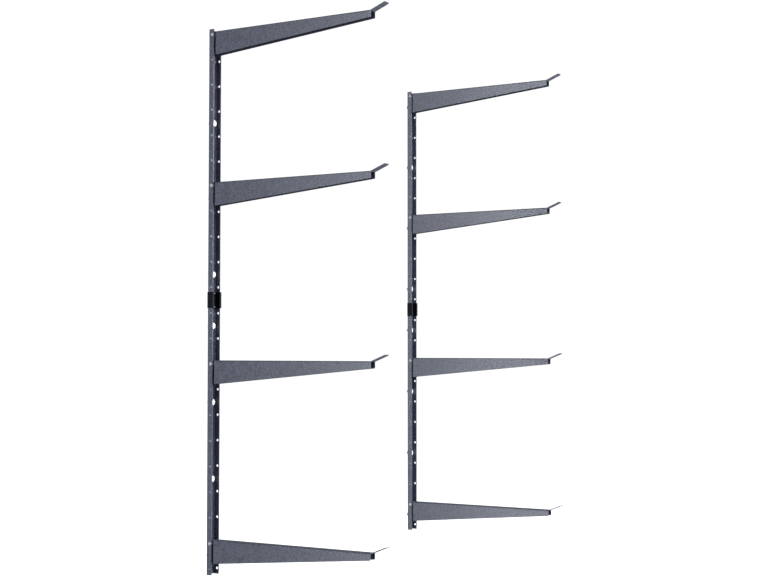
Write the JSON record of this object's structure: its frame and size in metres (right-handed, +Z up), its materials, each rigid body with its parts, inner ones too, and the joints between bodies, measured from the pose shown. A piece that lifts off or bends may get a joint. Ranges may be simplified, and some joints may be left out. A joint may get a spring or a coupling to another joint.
{
  "type": "cantilever rack",
  "caption": "Wall-mounted cantilever rack: spliced steel channel uprights with rows of holes, and tapered arms with raised lips that bolt between the flanges.",
  "frame": {"origin": "on the wall plane, midway between the uprights and level with the splices, at the centre of every wall bolt pattern", "axes": "+X along the wall from the left upright to the right one as seen from the room, +Y into the wall, +Z up; the arms point to -Y"},
  "size_m": [1.2729, 0.6221, 1.6483],
  "materials": {
    "upright_paint": "hammered slate grey paint",
    "arm_paint": "hammered slate grey paint",
    "black_plastic": "moulded matt black",
    "zinc": "bright zinc plate"
  },
  "bodies": {
    "uprights": {"left_upper_channel": "upright_paint", "left_upper_wall_bolts": "zinc", "left_upper_wall_washers": "zinc", "left_lower_channel": "upright_paint", "left_lower_wall_bolts": "zinc", "left_lower_wall_washers": "zinc", "left_splice_clip": "black_plastic", "left_clip_screws": "zinc", "left_arm_bolt_1": "zinc", "left_arm_nut_1": "zinc", "left_arm_washer_1": "zinc", "left_arm_bushes_1": "zinc", "left_arm_bolt_2": "zinc", "left_arm_nut_2": "zinc", "left_arm_washer_2": "zinc", "left_arm_bushes_2": "zinc", "left_arm_bolt_3": "zinc", "left_arm_nut_3": "zinc", "left_arm_washer_3": "zinc", "left_arm_bushes_3": "zinc", "left_arm_bolt_4": "zinc", "left_arm_nut_4": "zinc", "left_arm_washer_4": "zinc", "left_arm_bushes_4": "zinc", "right_upper_channel": "upright_paint", "right_upper_wall_bolts": "zinc", "right_upper_wall_washers": "zinc", "right_lower_channel": "upright_paint", "right_lower_wall_bolts": "zinc", "right_lower_wall_washers": "zinc", "right_splice_clip": "black_plastic", "right_clip_screws": "zinc", "right_arm_bolt_1": "zinc", "right_arm_nut_1": "zinc", "right_arm_washer_1": "zinc", "right_arm_bushes_1": "zinc", "right_arm_bolt_2": "zinc", "right_arm_nut_2": "zinc", "right_arm_washer_2": "zinc", "right_arm_bushes_2": "zinc", "right_arm_bolt_3": "zinc", "right_arm_nut_3": "zinc", "right_arm_washer_3": "zinc", "right_arm_bushes_3": "zinc", "right_arm_bolt_4": "zinc", "right_arm_nut_4": "zinc", "right_arm_washer_4": "zinc", "right_arm_bushes_4": "zinc"},
    "left_arm_1": {"left_arm_1": "arm_paint"},
    "left_arm_2": {"left_arm_2": "arm_paint"},
    "left_arm_3": {"left_arm_3": "arm_paint"},
    "left_arm_4": {"left_arm_4": "arm_paint"},
    "right_arm_1": {"right_arm_1": "arm_paint"},
    "right_arm_2": {"right_arm_2": "arm_paint"},
    "right_arm_3": {"right_arm_3": "arm_paint"},
    "right_arm_4": {"right_arm_4": "arm_paint"}
  },
  "joints": [
    {"name": "left_arm_1_lift", "type": "hinge", "parent": "uprights", "child": "left_arm_1", "pos_m": [-0.6096, -0.0127, 0.801], "axis": [-1, 0, 0], "range_deg": [0, 60]},
    {"name": "left_arm_2_lift", "type": "hinge", "parent": "uprights", "child": "left_arm_2", "pos_m": [-0.6096, -0.0127, 0.3438], "axis": [-1, 0, 0], "range_deg": [0, 40]},
    {"name": "left_arm_3_lift", "type": "hinge", "parent": "uprights", "child": "left_arm_3", "pos_m": [-0.6096, -0.0127, -0.1914], "axis": [-1, 0, 0], "range_deg": [0, 50]},
    {"name": "left_arm_4_lift", "type": "hinge", "parent": "uprights", "child": "left_arm_4", "pos_m": [-0.6096, -0.0127, -0.7248], "axis": [-1, 0, 0], "range_deg": [0, 50]},
    {"name": "right_arm_1_lift", "type": "hinge", "parent": "uprights", "child": "right_arm_1", "pos_m": [0.6096, -0.0127, 0.801], "axis": [-1, 0, 0], "range_deg": [0, 60]},
    {"name": "right_arm_2_lift", "type": "hinge", "parent": "uprights", "child": "right_arm_2", "pos_m": [0.6096, -0.0127, 0.3438], "axis": [-1, 0, 0], "range_deg": [0, 40]},
    {"name": "right_arm_3_lift", "type": "hinge", "parent": "uprights", "child": "right_arm_3", "pos_m": [0.6096, -0.0127, -0.1914], "axis": [-1, 0, 0], "range_deg": [0, 50]},
    {"name": "right_arm_4_lift", "type": "hinge", "parent": "uprights", "child": "right_arm_4", "pos_m": [0.6096, -0.0127, -0.7248], "axis": [-1, 0, 0], "range_deg": [0, 50]}
  ]
}
